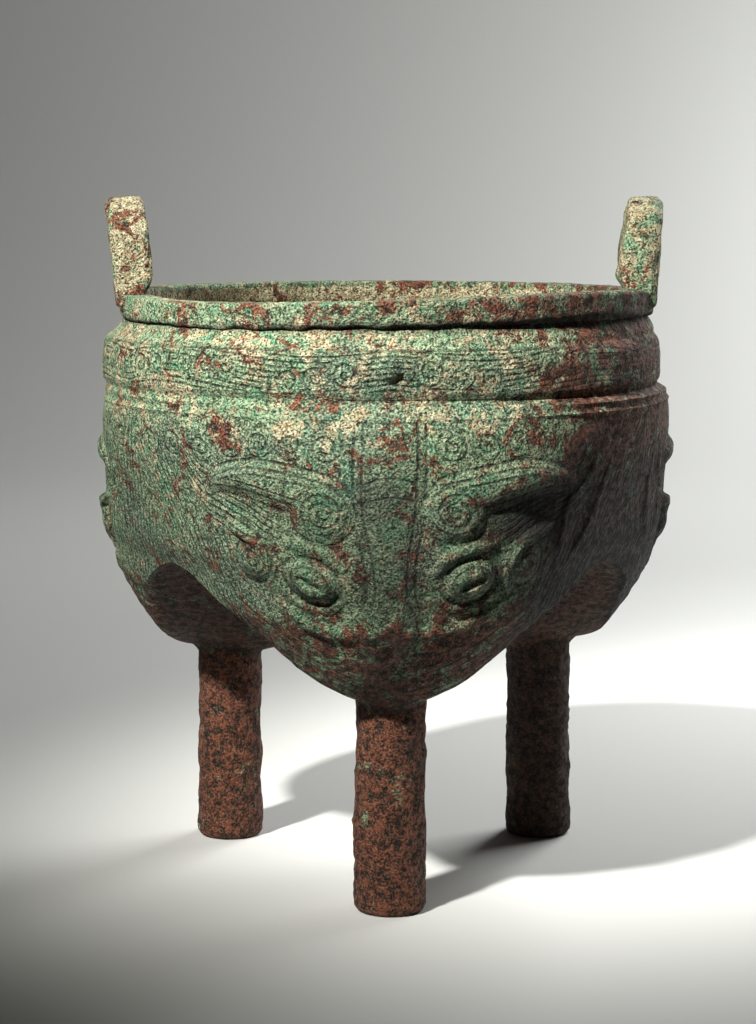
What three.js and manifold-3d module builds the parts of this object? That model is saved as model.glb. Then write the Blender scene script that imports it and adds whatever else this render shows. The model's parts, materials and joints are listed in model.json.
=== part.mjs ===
// Three-legged bronze ding: a lobed food vessel with two upright loop ears, cast in one pour.
// Millimetres. Z is up and the feet stand on Z = 0. The origin is the middle of the vessel's footprint
// box, so the bowl's vertical axis, which has one leg in front and two behind, stands at Y = AXIS_Y.
// Round that axis the legs stand at -90, 30 and 150 degrees and the ears at -4 and -176 degrees.
import * as THREE from 'three';
import ModuleFactory from 'manifold-3d';

const wasm = await ModuleFactory();
wasm.setup();

// ---- Driving dimensions -------------------------------------------------------------------
const HEIGHT = 240;              // floor to the top of the ears
const RIM_Z = 206.5;             // top face of the lip
const RIM_R = 95.8;              // outer radius of the lip
const RIM_WIDTH = 9.4;           // flat top face of the lip, inner to outer edge
const LIP_DEPTH = 8.4;           // height of the lip's vertical outer band
const LIP_WARP = 2.4;            // how far the lip strays from level in front
const NECK_R = 94.8;             // wall right under the lip
const WALL = 3.3;                // thickness of the cast wall
const LEG_R = 11.9;              // radius of a solid leg
const LEG_AT = 67;               // distance of a leg's centre from the vessel's axis
const LEG_TOP = 77;              // where a leg ends, inside the floor of its lobe
const FOOT_EDGE = 1.8;           // rounding of the foot's rim
const POUCH_Z = 71;              // underside of a lobe beside its leg
const CROTCH_Z = 114;            // top of the pointed arch between two lobes
const VAULT_Z = 97;              // middle of the underside
const EAR_SPAN = 42;             // ear, post to post, over its outer faces
const EAR_POST = 12.5;           // width of a post
const EAR_DEPTH = 12.8;          // thickness of an ear above its foot, towards the axis
const EAR_FLARE = [-0.8, 1];     // how much thicker the right and the left ear are at their top
const EAR_TURN = 4;              // how far both ears sit forward of the widest line, degrees
const EAR_OUT = 96.8;            // outer face of an ear at the lip
const EAR_SPLAY = [3.6, 5.8];    // how far the right and the left ear lean outwards, degrees
const LOBE_SWELL = [0, -1, 1.8]; // how much fuller each hand-made lobe is near its bottom
const LOBE_RISE = [0, 2, -0.4];  // how much higher the underside of each lobe lies
const BAND_LEFT = 1.7;           // the neck band stands out this much more on the left than on average
const MASK_H = 1;                // scales the height of the cast relief
const AXIS_Y = 4.5;              // moves the finished vessel so that its box is centred on the origin

// ---- The wall: a round neck that grows three lobes lower down --------------------------------
const LOBE_AT = [-90, 30, 150].map((deg) => deg * Math.PI / 180);
const COLUMNS = 48;

// height and radius along the middle of a lobe
const PROFILE = [[66, 70], [70, 78.5], [72, 81], [75, 84.6], [79, 89.4], [86, 94.6], [93, 98.6], [100, 101.4],
  [107, 103.4], [113, 105.4], [120, 107.2], [130, 107], [140, 106.4], [150, 105.6], [160, 104.4],
  [167, 102.6], [172, 100.8], [300, 100.8]];
// height and how deep the fold between two lobes is
const FOLD = [[70, 50], [80, 42], [90, 34], [104, 21], [114, 20], [120, 17.8], [137, 12.5], [150, 8],
  [160, 4.5], [173, 0.6], [180, 0], [300, 0]];

function along(table, x) {
  let i = 1;
  while (i < table.length - 1 && table[i][0] < x) i += 1;
  const [x0, y0] = table[i - 1];
  const [x1, y1] = table[i];
  return y0 + (y1 - y0) * (x - x0) / (x1 - x0);
}

function smooth(u) {
  const t = Math.min(1, Math.max(0, u));
  return t * t * (3 - 2 * t);
}

// which lobe an angle belongs to, and the angle from that lobe's middle
function lobeOf(theta) {
  let best = 0;
  let psi = 10;
  LOBE_AT.forEach((at, i) => {
    const d = Math.atan2(Math.sin(theta - at), Math.cos(theta - at));
    if (Math.abs(d) < Math.abs(psi)) {
      psi = d;
      best = i;
    }
  });
  return { index: best, psi };
}

function wallRadius(theta, z) {
  const { index, psi } = lobeOf(theta);
  const fold = Math.pow((1 - Math.cos(3 * psi)) / 2, 1.1);
  const low = smooth((118 - z) / 22) * Math.cos(1.5 * psi);
  return along(PROFILE, z) - along(FOLD, z) * fold + LOBE_SWELL[index] * low;
}

// the sharp lower edge of the wall climbs from each leg to a pointed arch between the lobes
function edgeZ(theta) {
  const { index, psi } = lobeOf(theta);
  const round = (1 - Math.cos(3 * psi)) / 2;
  return POUCH_Z + (CROTCH_Z - POUCH_Z) * (0.8 * round + 0.2 * Math.abs(psi) / (Math.PI / 3))
    + LOBE_RISE[index] * Math.cos(1.5 * psi);
}

// underside of the bowl at a share u of the way from the axis to the edge
function vaultZ(theta, u) {
  return VAULT_Z + (edgeZ(theta) - VAULT_Z) * smooth(u / 0.68);
}

function ring(count, at) {
  const points = [];
  for (let i = 0; i < count; i += 1) {
    const theta = -Math.PI / 2 + 2 * Math.PI * i / count;
    const [r, z] = at(theta);
    points.push([r * Math.cos(theta), r * Math.sin(theta), z]);
  }
  return points;
}

// the hand-made lip dips on the left of the front leg, rises on its right, and is level behind
function warp(theta) {
  return LIP_WARP * Math.cos(theta) * smooth(-1.2 * Math.sin(theta));
}

// closed surface from a list of rings, ended by a point at each end
function skin(rings, first, last) {
  const positions = [];
  const starts = [];
  rings.forEach((points) => {
    starts.push(positions.length / 3);
    points.forEach((p) => positions.push(...p));
  });
  const faces = [];
  for (let k = 0; k + 1 < rings.length; k += 1) {
    const a = rings[k].length;
    const b = rings[k + 1].length;
    let i = 0;
    let j = 0;
    while (i < a || j < b) {
      const p = starts[k] + i % a;
      const q = starts[k + 1] + j % b;
      if (i < a && (i + 1) * b <= (j + 1) * a) {
        faces.push(p, starts[k] + (i + 1) % a, q);
        i += 1;
      } else {
        faces.push(p, starts[k + 1] + (j + 1) % b, q);
        j += 1;
      }
    }
  }
  [[0, first, true], [rings.length - 1, last, false]].forEach(([k, point, start]) => {
    const n = rings[k].length;
    const tip = positions.length / 3;
    positions.push(...point);
    for (let i = 0; i < n; i += 1) {
      const p = starts[k] + i;
      const q = starts[k] + (i + 1) % n;
      if (start) {
        faces.push(q, p, tip);
      } else {
        faces.push(p, q, tip);
      }
    }
  });
  const geometry = new THREE.BufferGeometry();
  geometry.setAttribute('position', new THREE.Float32BufferAttribute(positions, 3));
  geometry.setIndex(faces);
  return geometry;
}

// joins and cuts
function solid(geometry) {
  const p = geometry.attributes.position.array;
  const index = Array.from(geometry.index.array);
  let volume = 0;
  for (let i = 0; i < index.length; i += 3) {
    const [a, b, c] = [index[i] * 3, index[i + 1] * 3, index[i + 2] * 3];
    volume += p[a] * (p[b + 1] * p[c + 2] - p[b + 2] * p[c + 1])
      - p[a + 1] * (p[b] * p[c + 2] - p[b + 2] * p[c])
      + p[a + 2] * (p[b] * p[c + 1] - p[b + 1] * p[c]);
  }
  if (volume < 0) {
    for (let i = 0; i < index.length; i += 3) {
      [index[i], index[i + 1]] = [index[i + 1], index[i]];
    }
  }
  return new wasm.Manifold(new wasm.Mesh({
    numProp: 3, vertProperties: new Float32Array(p), triVerts: new Uint32Array(index),
  }));
}

// ---- Bowl: inner floor, inner wall, lip, neck band, lobes, lower edge, vaulted underside ------
function innerEdge(theta) {
  // height at which the inside of the wall meets the inside of the floor
  let low = edgeZ(theta);
  let high = low + 30;
  for (let i = 0; i < 24; i += 1) {
    const z = (low + high) / 2;
    if (z >= innerFloor(theta, innerR(theta, z) / edgeR(theta))) {
      high = z;
    } else {
      low = z;
    }
  }
  return high;
}

function edgeR(theta) {
  return wallRadius(theta, edgeZ(theta));
}

function innerFloor(theta, u) {
  return Math.max(vaultZ(theta, u) + WALL + 0.4, LEG_TOP + 2);
}

function innerR(theta, z) {
  const slope = (wallRadius(theta, z + 1) - wallRadius(theta, z - 1)) / 2;
  const band = smooth((z - 158) / 12);
  const collar = band * (1.3 + 0.8 * BAND_LEFT * Math.cos(theta));
  const thick = WALL * Math.sqrt(1 + Math.min(slope * slope, 1.6)) + collar;
  const neck = RIM_R - RIM_WIDTH + 0.45 * (RIM_Z - z);
  return Math.min(wallRadius(theta, z) - thick, neck + 0.2);
}

function bowl() {
  const rings = [];
  // inner floor, from the middle out
  [0.22, 0.42, 0.6, 0.78].forEach((u) => {
    rings.push(ring(u > 0.7 ? COLUMNS : 24, (t) => {
      const r = innerR(t, innerEdge(t)) * u;
      return [r, innerFloor(t, r / edgeR(t))];
    }));
  });
  rings.push(ring(COLUMNS, (t) => [innerR(t, innerEdge(t)), innerEdge(t)]));
  // inner wall, upwards
  [0.16, 0.42, 0.7].forEach((v) => {
    rings.push(ring(COLUMNS, (t) => {
      const z = innerEdge(t) + (176 - innerEdge(t)) * v;
      return [innerR(t, z), z];
    }));
  });
  rings.push(ring(COLUMNS, (t) => [innerR(t, 176), 176]));
  rings.push(ring(COLUMNS, (t) => [innerR(t, 190), 190]));
  rings.push(ring(COLUMNS, (t) => [RIM_R - RIM_WIDTH - 0.5, RIM_Z - 3 + warp(t)]));
  // lip
  rings.push(ring(COLUMNS, (t) => [RIM_R - RIM_WIDTH + 0.5, RIM_Z + warp(t)]));
  rings.push(ring(COLUMNS, (t) => [RIM_R - 0.9, RIM_Z + warp(t)]));
  rings.push(ring(COLUMNS, (t) => [RIM_R, RIM_Z - 1 + warp(t)]));
  rings.push(ring(COLUMNS, (t) => [RIM_R, RIM_Z - LIP_DEPTH + 0.8 + warp(t)]));
  rings.push(ring(COLUMNS, (t) => [RIM_R - 1, RIM_Z - LIP_DEPTH + warp(t)]));
  // recess under the lip, plain neck, raised neck band, groove, plain zone, thin raised line
  [[NECK_R - 1.4, 198.2, 0], [NECK_R, 196.2, 0], [96.8, 192.6, 0.6], [98.8, 190.6, 1], [100, 184, 1],
    [100, 175.6, 1], [98.8, 174.4, 0.7], [99, 173, 0.4]].forEach(([r, z, left]) => {
    rings.push(ring(COLUMNS, (t) => [r - BAND_LEFT * left * Math.cos(t), z + (z > 197 ? 0.5 * warp(t) : 0)]));
  });
  rings.push(ring(COLUMNS, (t) => [wallRadius(t, 171.8), 171.8]));
  rings.push(ring(COLUMNS, (t) => [wallRadius(t, 169.4), 169.4]));
  rings.push(ring(COLUMNS, (t) => [wallRadius(t, 168.6) + 0.6, 168.6]));
  rings.push(ring(COLUMNS, (t) => [wallRadius(t, 167.8), 167.8]));
  // lobes, downwards to the sharp edge
  [0.84, 0.68, 0.53, 0.39, 0.27, 0.17, 0.09, 0.035, 0].forEach((v) => {
    rings.push(ring(COLUMNS, (t) => {
      const z = edgeZ(t) + (167 - edgeZ(t)) * v;
      return [wallRadius(t, z), z];
    }));
  });
  // underside, back to the middle
  [0.82, 0.66, 0.48, 0.26].forEach((u, k) => {
    rings.push(ring(k < 2 ? COLUMNS : 24, (t) => [edgeR(t) * u, vaultZ(t, u)]));
  });
  const top = innerFloor(0, 0);
  return solid(skin(rings, [0, 0, top], [0, 0, VAULT_Z]));
}

// ---- Legs: solid cylinders with flat feet ------------------------------------------------------
function leg(at) {
  const steps = [[LEG_R - FOOT_EDGE, 0], [LEG_R - 0.55, 0.6], [LEG_R, FOOT_EDGE], [LEG_R - 0.4, 40],
    [LEG_R - 0.2, 62], [LEG_R - 0.6, LEG_TOP]];
  const rings = steps.map(([r, z]) => ring(18, () => [r, z]));
  const geometry = skin(rings, [0, 0, 0], [0, 0, LEG_TOP]);
  geometry.translate(LEG_AT * Math.cos(at), LEG_AT * Math.sin(at), 0);
  return solid(geometry);
}

// ---- Ears: upright loops, flush with the lip outside, leaning slightly outwards ------------------
function ear(side) {
  const lean = EAR_SPLAY[side] * Math.PI / 180;
  const radius = (EAR_SPAN - EAR_POST) / 2;
  const spring = HEIGHT - EAR_POST / 2 - radius;
  const foot = RIM_Z - LIP_DEPTH + 1.6;
  const path = [[-radius, foot], [-radius, foot + 2.4], [-radius, RIM_Z + 5], [-radius, spring]];
  for (let i = 1; i <= 10; i += 1) {
    const a = Math.PI - Math.PI * i / 10;
    path.push([radius * Math.cos(a), spring + radius * Math.sin(a)]);
  }
  path.push([radius, RIM_Z + 5], [radius, foot + 2.4], [radius, foot]);
  const rings = path.map(([t, z], i) => {
    const before = path[Math.max(0, i - 1)];
    const after = path[Math.min(path.length - 1, i + 1)];
    const len = Math.hypot(after[0] - before[0], after[1] - before[1]);
    const nt = (after[1] - before[1]) / len;
    const nz = -(after[0] - before[0]) / len;
    const w = EAR_POST / 2;
    const up = Math.max(0, (z - RIM_Z) / (HEIGHT - RIM_Z));
    const seat = 2.8 * (1 - smooth((z - RIM_Z + 1) / 6));
    const depth = EAR_DEPTH + EAR_FLARE[side] * up - seat;
    const sunk = z < foot + 1 ? 1.4 : 0;
    // section: across the post, and depth towards the axis, with bevelled corners
    const section = [[-w, 1.8], [-w + 1.8, 0], [w - 1.8, 0], [w, 1.8], [w, depth - 1], [w - 1, depth],
      [-w + 1, depth], [-w, depth - 1]];
    return section.map(([across, inwards]) => {
      const tt = t - nt * across;
      const zz = z - nz * across;
      const leaning = Math.tan(lean) * Math.max(0, zz - RIM_Z + LIP_DEPTH);
      const out = EAR_OUT - sunk * (1 - inwards / depth) - inwards + leaning;
      const curve = Math.hypot(out, tt) - out;
      const x = out - 0.6 * curve;
      const turn = EAR_TURN * Math.PI / 180;
      const forward = x * Math.sin(turn) - (side === 0 ? 1 : -1) * tt * Math.cos(turn);
      const outward = x * Math.cos(turn) + (side === 0 ? 1 : -1) * tt * Math.sin(turn);
      return side === 0 ? [outward, -forward, zz] : [-outward, -forward, zz];
    });
  });
  const middle = (points) => [0, 1, 2].map((k) => points.reduce((sum, p) => sum + p[k], 0) / points.length);
  return solid(skin(rings, middle(rings[0]), middle(rings[rings.length - 1])));
}

// ---- Cast relief: an animal mask on each lobe ----------------------------------------------------
// Positions on a lobe are given flat: s millimetres round from its middle, z up.
const FLAT_R = 100;
const ROOT = 1.7;                // how deep a relief member is rooted in the wall

function onWall(at, s, z, height) {
  const theta = at + s / FLAT_R;
  const r = z > 172 ? 100 - BAND_LEFT * Math.cos(theta) : wallRadius(theta, z);
  return [(r + height) * Math.cos(theta), (r + height) * Math.sin(theta), z];
}

// a raised band along a curve; each stop is s, z, half width, height
function band(at, mirror, stops, count) {
  const line = new THREE.CatmullRomCurve3(stops.map(([s, z]) => new THREE.Vector3(s, z, 0)));
  const size = new THREE.CatmullRomCurve3(stops.map(([, , w, h]) => new THREE.Vector3(w, h, 0)));
  const rings = [];
  for (let i = 0; i <= count; i += 1) {
    const p = line.getPoint(i / count);
    const d = line.getTangent(i / count);
    const { x: w, y: h } = size.getPoint(i / count);
    const shoulder = w > 4 ? 0.7 : 0.45;
    const section = [[-1, -ROOT], [-shoulder, h * MASK_H], [shoulder, h * MASK_H], [1, -ROOT]];
    rings.push(section.map(([across, height]) => {
      const s = p.x - d.y * across * w;
      const z = p.y + d.x * across * w;
      return onWall(at, mirror * s, z, height);
    }));
  }
  const middle = (points) => [0, 1, 2].map((k) => points.reduce((sum, p) => sum + p[k], 0) / points.length);
  return solid(skin(rings, middle(rings[0]), middle(rings[count])));
}

// a rounded boss: middle s and z, half length, half width, turn in degrees, height
function boss(at, mirror, s, z, a, b, turn, height, sides = 12) {
  const c = Math.cos(turn * Math.PI / 180);
  const n = Math.sin(turn * Math.PI / 180);
  const rings = [[1, -ROOT], [0.94, 0.45], [0.7, 0.85]].map(([share, up]) => {
    const points = [];
    for (let i = 0; i < sides; i += 1) {
      const t = 2 * Math.PI * i / sides;
      const u = a * share * Math.cos(t);
      const v = b * share * Math.sin(t);
      points.push(onWall(at, mirror * (s + u * c - v * n), z + u * n + v * c,
        up > 0 ? up * height * MASK_H : up));
    }
    return points;
  });
  return solid(skin(rings, onWall(at, mirror * s, z, -ROOT), onWall(at, mirror * s, z, height * MASK_H)));
}

function mask(at) {
  const parts = [];
  // forehead panel, bridge and nose down the middle
  parts.push(band(at, 1, [[0, 166, 10.3, 0.9], [0, 152, 10.5, 1.2], [0, 138, 9.8, 1.7], [0, 128, 6.2, 2.4],
    [0, 118, 4.6, 2.8], [0, 110, 5.4, 3.2], [0, 103, 8.8, 3.5], [0, 97, 9.4, 2.6], [0, 94, 7, 1.1]], 9));
  [1, -1].forEach((m) => {
    // horn: a rolled inner end and a thick band that sweeps outwards and turns down
    parts.push(boss(at, m, 20.5, 139, 8.6, 9.2, 0, 2.6, 12));
    parts.push(band(at, m, [
      [20, 143, 6.8, 2.8], [30, 145.4, 6.6, 3.6], [42, 148, 6, 3.9], [52, 147.4, 5, 3.4],
      [58, 142.6, 3.8, 2.4], [58.6, 136.5, 2, 0.8]], 7));
    // eye with its brow
    parts.push(boss(at, m, 25, 116.2, 8.6, 6.2, 28, 4.2, 12));
    parts.push(band(at, m, [[13.5, 120.5, 1.2, 0.8], [19, 124.6, 1.7, 1.6], [27, 127.6, 1.7, 1.6],
      [34, 129.6, 1.2, 0.8]], 4));
    // animal ear
    parts.push(boss(at, m, 46, 121.5, 6.4, 6.6, 0, 2.2, 10));
    parts.push(band(at, m, [[40, 114, 1.6, 1.4], [38.8, 122, 2, 2.2], [43, 128.4, 2.3, 2.8],
      [50, 130.4, 2, 2.4], [57, 133, 1.2, 1]], 6));
    // jaw
    parts.push(band(at, m,
      [[11, 98, 1.6, 1.6], [20, 99, 2, 1.7], [31, 103.4, 2, 1.6], [41, 109.6, 1.4, 0.8]], 4));
    // long plumes of the body, sweeping round the side of the lobe
    parts.push(band(at, m, [[77, 153, 1.2, 0.7], [73, 144, 1.5, 1.1], [65, 139, 1.5, 1.1],
      [63, 131, 1.3, 1], [62, 122, 1, 0.6]], 5));
    parts.push(band(at, m,
      [[86, 151, 1.2, 0.7], [83, 139, 1.6, 1.1], [77, 128, 1.6, 1.1], [69, 119, 1.1, 0.6]], 4));
  });
  // boss on the neck band over the nose
  parts.push(boss(at, 1, 0, 185, 4.4, 4.4, 0, 3, 10));
  return parts;
}

// slit pupil of an eye
function pupil(at, mirror) {
  const slit = [[20.8, 114.1, 0.5], [23.2, 115.3, 1.1], [26.6, 117, 1.1], [29.2, 118.3, 0.5]];
  const rings = slit.map(([s, z, w]) => [
    [s + 0.5 * w, z - w, 2.2], [s + 0.5 * w, z - w, 7], [s - 0.5 * w, z + w, 7], [s - 0.5 * w, z + w, 2.2],
  ].map(([a, b, height]) => onWall(at, mirror * a, b, height * MASK_H)));
  const middle = (points) => [0, 1, 2].map((k) => points.reduce((sum, p) => sum + p[k], 0) / points.length);
  return solid(skin(rings, middle(rings[0]), middle(rings[3])));
}

// ---- One casting -----------------------------------------------------------------------------------
let vessel = bowl();
LOBE_AT.forEach((at) => {
  vessel = vessel.add(leg(at));
  mask(at).forEach((member) => {
    vessel = vessel.add(member);
  });
  [1, -1].forEach((m) => {
    vessel = vessel.subtract(pupil(at, m));
  });
});
[0, 1].forEach((side) => {
  vessel = vessel.add(ear(side));
});

const result = vessel.getMesh();
const geometry = new THREE.BufferGeometry();
const flat = new Float32Array(result.numVert * 3);
for (let i = 0; i < result.numVert; i += 1) {
  for (let k = 0; k < 3; k += 1) flat[3 * i + k] = result.vertProperties[i * result.numProp + k];
}
geometry.setAttribute('position', new THREE.Float32BufferAttribute(flat, 3));
geometry.setIndex(Array.from(result.triVerts));
geometry.translate(0, AXIS_Y, 0);
geometry.computeVertexNormals();

const bronze = new THREE.MeshStandardMaterial({ color: 0x6f9277, roughness: 0.82, metalness: 0.15 });
const mesh = new THREE.Mesh(geometry, bronze);
mesh.name = 'ding_vessel';

const part = new THREE.Group();
part.name = 'ding';
part.add(mesh);
export default part;
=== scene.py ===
"""A lobed bronze ding, cast in one piece and corroded green and brown, on a pale floor."""
import json
import math

import bpy
import numpy as np
from mathutils import Matrix, Vector
from mathutils.geometry import delaunay_2d_cdt


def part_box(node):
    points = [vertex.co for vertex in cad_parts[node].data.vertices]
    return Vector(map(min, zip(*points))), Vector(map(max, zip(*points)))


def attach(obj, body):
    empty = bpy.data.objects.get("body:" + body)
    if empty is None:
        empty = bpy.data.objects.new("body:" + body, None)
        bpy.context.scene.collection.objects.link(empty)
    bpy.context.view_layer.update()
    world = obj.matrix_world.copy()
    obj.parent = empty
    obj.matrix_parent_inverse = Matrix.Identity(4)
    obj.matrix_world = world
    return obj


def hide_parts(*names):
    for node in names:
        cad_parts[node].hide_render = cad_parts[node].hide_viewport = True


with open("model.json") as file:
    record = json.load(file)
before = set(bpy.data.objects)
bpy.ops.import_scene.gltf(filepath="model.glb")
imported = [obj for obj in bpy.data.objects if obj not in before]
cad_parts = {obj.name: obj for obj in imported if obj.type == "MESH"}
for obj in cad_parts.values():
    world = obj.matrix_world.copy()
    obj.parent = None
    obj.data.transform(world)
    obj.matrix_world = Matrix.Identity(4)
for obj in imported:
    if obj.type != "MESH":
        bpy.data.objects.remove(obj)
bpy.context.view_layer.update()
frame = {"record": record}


# ---- The bowl's wall -------------------------------------------------------------------------
# Tin bronze poured between clay piece-moulds. A round neck swells into three lobes, one over each
# leg, with a fold between them; below, the wall ends in a sharp edge that arches from leg to leg.
MM = 0.001
feet = [Vector(mount["pos_m"]) for mount in frame["record"]["mounts"]]
axis = sum(feet, Vector()) / len(feet)
LEG_ANGLES = [math.atan2((foot - axis).y, (foot - axis).x) for foot in feet]
LEG_CIRCLE = (feet[0] - axis).length / MM

LOBE_PROFILE = [(66, 70), (70, 78.5), (72, 81), (75, 84.6), (79, 89.4), (86, 94.6), (93, 98.6), (100, 101.4),
                (107, 103.4), (113, 105.4), (120, 107), (130, 107), (140, 106.4), (150, 105.6), (160, 104.4),
                (167, 102.6), (172, 100.8), (176, 100.4)]
FOLD_DEPTH = [(66, 54), (80, 42), (90, 34), (104, 21), (114, 20), (120, 17.8), (137, 12.5), (150, 8),
              (160, 4.5), (173, 0.6), (180, 0)]
NECK_PROFILE = [(171.4, 100.8), (172.4, 100.4), (173.1, 98.9), (174.5, 98.7), (175.4, 99.8), (177, 100),
                (184, 100.1), (188.5, 99.6), (190.4, 98.9), (191.6, 97.4), (193, 96.6), (196.2, 94.8),
                (198.3, 93.4)]
LOBE_SWELL = (0, -1, 1.8)
LOBE_RISE = (0, 2, -0.4)
EDGE_LOW = 71
EDGE_HIGH = 114
BAND_LEFT = 1.7
FLAT_R = 100
WALL_TOP = 198.3
NECK_BOTTOM = 167.5
LOBE_TOP = 166.6
COLUMNS = 540
NECK_ROWS = 31
LOBE_ROWS = 85


def ease(u):
    u = np.clip(u, 0, 1)
    return u * u * (3 - 2 * u)


def through(table, x):
    """A smooth curve through the table's points."""
    xs, ys = np.array(table, float).T
    slope = np.gradient(ys, xs)
    k = np.clip(np.searchsorted(xs, x) - 1, 0, len(xs) - 2)
    w = xs[k + 1] - xs[k]
    t = np.clip((x - xs[k]) / w, 0, 1)
    return ((2 * t**3 - 3 * t**2 + 1) * ys[k] + (t**3 - 2 * t**2 + t) * w * slope[k]
            + (3 * t**2 - 2 * t**3) * ys[k + 1] + (t**3 - t**2) * w * slope[k + 1])


def lobe_of(theta):
    """The nearest lobe's number, and the angle from its middle."""
    away = np.stack([np.arctan2(np.sin(theta - a), np.cos(theta - a)) for a in LEG_ANGLES])
    index = np.abs(away).argmin(axis=0)
    return index, np.take_along_axis(away, index[None], axis=0)[0]


def wall_radius(theta, z):
    index, psi = lobe_of(theta)
    fold = ((1 - np.cos(3 * psi)) / 2) ** 1.1
    low = ease((118 - z) / 22) * np.cos(1.5 * psi)
    body = through(LOBE_PROFILE, z) - through(FOLD_DEPTH, z) * fold + np.array(LOBE_SWELL)[index] * low
    left = ease((z - 171) / 3) * ease((194.5 - z) / 4)
    neck = np.interp(z, *np.array(NECK_PROFILE).T) - BAND_LEFT * left * np.cos(theta)
    return np.where(z > 171.4, neck, body)


def edge_height(theta):
    index, psi = lobe_of(theta)
    arch = 0.8 * (1 - np.cos(3 * psi)) / 2 + 0.2 * np.abs(psi) / (math.pi / 3)
    return EDGE_LOW + (EDGE_HIGH - EDGE_LOW) * arch + np.array(LOBE_RISE)[index] * np.cos(1.5 * psi)


def lumps(points, size, seed):
    """Smooth random lumps about `size` millimetres across, from -1 to 1."""
    cell = points / size + 31.7 * seed
    base = np.floor(cell).astype(np.int64)
    part = ease(cell - base)
    total = np.zeros(len(points))
    for corner in np.ndindex(2, 2, 2):
        i, j, k = (base + corner).T
        scrambled = (i * 73856093) ^ (j * 19349663) ^ (k * 83492791)
        scrambled = (scrambled ^ (scrambled >> 13)) * 1274126177 & 0x7FFFFFFF
        value = ((scrambled >> 8) & 0xFFFF) / 32767.5 - 1
        weight = np.where(corner, part, 1 - part).prod(axis=1)
        total += weight * value
    return total


theta = -math.pi / 2 + 2 * math.pi * np.arange(COLUMNS) / COLUMNS
low_edge = edge_height(theta)
neck_rows = np.repeat(np.linspace(WALL_TOP, NECK_BOTTOM, NECK_ROWS)[:, None], COLUMNS, axis=1)
lobe_rows = low_edge + (LOBE_TOP - low_edge) * np.linspace(1, 0, LOBE_ROWS)[:, None] ** 0.93
wall_z = np.concatenate([neck_rows, lobe_rows]).ravel()
wall_theta = np.tile(theta, NECK_ROWS + LOBE_ROWS)
wall_r = wall_radius(wall_theta, wall_z)
wall_points = np.stack([wall_r * np.cos(wall_theta), wall_r * np.sin(wall_theta), wall_z], axis=1)


# ---- The masks and the neck band ----------------------------------------------------------------
# Cast relief from a carved mould: on each lobe an animal mask with horns, eyes, ears, a ridged nose
# and a jaw, and long plumes at its sides; round the neck a band of curled dragons with a boss.
_, wall_psi = lobe_of(wall_theta)
hand = np.stack([lumps(wall_points, 26, 1), lumps(wall_points, 26, 2)]) * 0.9
mask_s = np.abs(FLAT_R * wall_psi + 0.9 + hand[0])
mask_z = wall_z + hand[1]
relief = np.zeros(len(wall_z))
outline = np.full(len(wall_z), 12.0)


def curve_through(stops, steps=8):
    """Points on a smooth curve through the stops, with their sizes."""
    stops = np.array(stops, float)
    ends = np.vstack([2 * stops[0] - stops[1], stops, 2 * stops[-1] - stops[-2]])
    t = np.linspace(0, 1, steps, endpoint=False)[:, None]
    spans = [0.5 * (2 * b + (c - a) * t + (2 * a - 5 * b + 4 * c - d) * t**2 + (3 * b - a - 3 * c + d) * t**3)
             for a, b, c, d in zip(ends, ends[1:], ends[2:], ends[3:])]
    return np.vstack(spans + [stops[-1:]])


def raise_band(stops, flat=0.5, lined=None):
    """Raises a band along a curve; a stop is s, z, half width and height."""
    path = curve_through(stops)
    reach = path[:, 2].max() + 8
    near = np.flatnonzero((mask_s > path[:, 0].min() - reach) & (mask_s < path[:, 0].max() + reach)
                          & (mask_z > path[:, 1].min() - reach) & (mask_z < path[:, 1].max() + reach))
    s, z = mask_s[near], mask_z[near]
    gap = np.full(len(near), 99.0)
    height = np.zeros(len(near))
    for p, q in zip(path, path[1:]):
        run = q[:2] - p[:2]
        t = np.clip(((s - p[0]) * run[0] + (z - p[1]) * run[1]) / (run @ run), 0, 1)
        ds = s - p[0] - t * run[0]
        dz = z - p[1] - t * run[1]
        across = np.hypot(ds, dz)
        width = np.maximum(p[2] + t * (q[2] - p[2]), 0.2)
        share = across / width
        rise = (p[3] + t * (q[3] - p[3])) * ease((1.2 - share) / (1.2 - flat))
        closer = across - width < gap
        gap = np.where(closer, across - width, gap)
        height = np.where(closer, rise, height)
    relief[near] = np.maximum(relief[near], height)
    if lined is not None:
        outline[near] = np.minimum(outline[near], np.maximum(gap, lined))


def raise_boss(s0, z0, long, short, turn, height, lined=None):
    """Raises a rounded boss, turned by so many degrees."""
    c, n = math.cos(math.radians(turn)), math.sin(math.radians(turn))
    u = (mask_s - s0) * c + (mask_z - z0) * n
    v = (mask_z - z0) * c - (mask_s - s0) * n
    share = np.hypot(u / long, v / short)
    relief[:] = np.maximum(relief, height * np.clip(1 - share**2.6, 0, 1) ** 0.7)
    if lined is not None:
        outline[:] = np.minimum(outline, np.maximum((share - 1) * short, lined))


# forehead panel, bridge and nose
raise_band([(0, 182, 10.3, 0.4), (0, 166, 10.3, 0.5), (0, 152, 10.4, 0.6), (0, 138, 9.9, 0.8),
            (0, 128, 8, 1.2), (0, 118, 6.8, 1.5), (0, 110, 7, 1.9), (0, 103, 8.8, 2.4),
            (0, 97, 9.4, 1.9), (0, 93, 8, 0.7)], lined=-3)
outline[(mask_s < 14) & (wall_z < 107)] = 12
outline[wall_z > 167.6] = 12
relief[wall_z > 170] = 0
# horns, each with a curl at its root
raise_band([(20, 143, 6.8, 1.8), (30, 145.4, 6.6, 2.3), (42, 148, 6, 2.7), (52, 148.4, 4.6, 2.3),
            (60, 147, 3.2, 1.4), (64, 144, 1.6, 0.6)], flat=0.25, lined=-9)
raise_boss(20.2, 138.6, 9.4, 9.6, 0, 2.6, lined=-9)
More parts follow.
